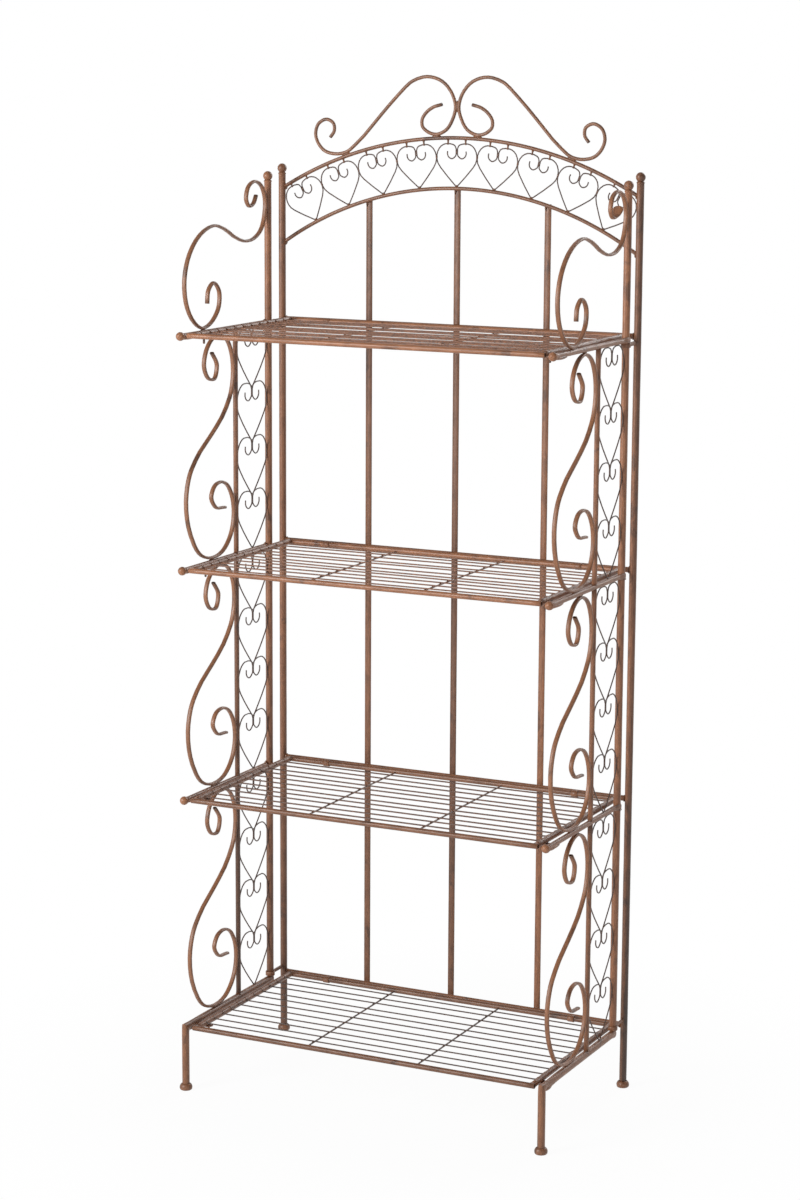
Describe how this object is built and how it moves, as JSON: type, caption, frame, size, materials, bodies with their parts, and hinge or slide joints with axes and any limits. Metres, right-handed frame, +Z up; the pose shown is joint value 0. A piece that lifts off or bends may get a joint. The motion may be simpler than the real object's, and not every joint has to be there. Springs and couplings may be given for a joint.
{
  "type": "folding shelf unit",
  "caption": "Free-standing folding metal shelf unit with wire shelves that lift on their rear rails, scrolled side frames and an arched back frame with wire hearts.",
  "frame": {"origin": "on the floor, under the middle of the four feet", "axes": "+Z up, +Y towards the back frame, +X to the right as seen from the front"},
  "size_m": [0.719, 0.393, 1.7987],
  "materials": {
    "rust_brown": "matt rust-brown paint, mottled darker",
    "rust_light": "matt rust-brown paint, rubbed lighter",
    "rust_dark": "matt dark rust-brown paint",
    "wire_brown": "matt black-brown paint"
  },
  "bodies": {
    "frame": {"back_post_left": "rust_brown", "back_post_right": "rust_brown", "back_foot_left": "rust_dark", "back_foot_right": "rust_dark", "crest_scroll_left": "rust_light", "crest_scroll_right": "rust_light", "back_rail_1": "rust_brown", "back_rail_2": "rust_brown", "back_rail_3": "rust_brown", "back_rail_4": "rust_brown", "back_slat_left": "rust_brown", "back_slat_centre": "rust_brown", "back_slat_right": "rust_brown", "arch_lower": "rust_brown", "arch_upper": "rust_brown", "arch_hearts": "wire_brown", "upright_left": "rust_brown", "upright_right": "rust_brown", "base_leg_left": "rust_light", "base_leg_right": "rust_light", "front_foot_left": "rust_dark", "front_foot_right": "rust_dark", "side_bar_left_1": "rust_light", "side_bar_left_2": "rust_light", "side_bar_left_3": "rust_light", "side_bar_right_1": "rust_light", "side_bar_right_2": "rust_light", "side_bar_right_3": "rust_light", "mid_post_left_1": "rust_brown", "mid_post_left_2": "rust_brown", "mid_post_left_3": "rust_brown", "mid_post_right_1": "rust_brown", "mid_post_right_2": "rust_brown", "mid_post_right_3": "rust_brown", "side_scroll_left_1": "rust_light", "side_scroll_left_2": "rust_light", "side_scroll_left_3": "rust_light", "side_scroll_right_1": "rust_light", "side_scroll_right_2": "rust_light", "side_scroll_right_3": "rust_light", "side_hearts_left_1": "wire_brown", "side_hearts_left_2": "wire_brown", "side_hearts_left_3": "wire_brown", "side_hearts_right_1": "wire_brown", "side_hearts_right_2": "wire_brown", "side_hearts_right_3": "wire_brown", "top_scroll_left": "rust_light", "top_scroll_right": "rust_light", "hinge_left_top": "rust_dark", "hinge_left_bottom": "rust_dark", "hinge_right_top": "rust_dark", "hinge_right_bottom": "rust_dark"},
    "shelf_1": {"shelf_frame_1": "rust_brown", "shelf_grid_1": "wire_brown"},
    "shelf_2": {"shelf_frame_2": "rust_brown", "shelf_grid_2": "wire_brown"},
    "shelf_3": {"shelf_frame_3": "rust_brown", "shelf_grid_3": "wire_brown"},
    "shelf_4": {"shelf_frame_4": "rust_brown", "shelf_grid_4": "wire_brown"}
  },
  "joints": [
    {"name": "shelf_1_lift", "type": "hinge", "parent": "frame", "child": "shelf_1", "pos_m": [0, 0.1738, 0.1172], "axis": [-1, 0, 0], "range_deg": [0, 90]},
    {"name": "shelf_2_lift", "type": "hinge", "parent": "frame", "child": "shelf_2", "pos_m": [0, 0.1738, 0.5369], "axis": [-1, 0, 0], "range_deg": [0, 90]},
    {"name": "shelf_3_lift", "type": "hinge", "parent": "frame", "child": "shelf_3", "pos_m": [0, 0.1738, 0.9489], "axis": [-1, 0, 0], "range_deg": [0, 90]},
    {"name": "shelf_4_lift", "type": "hinge", "parent": "frame", "child": "shelf_4", "pos_m": [0, 0.1738, 1.3579], "axis": [-1, 0, 0], "range_deg": [0, 90]}
  ]
}
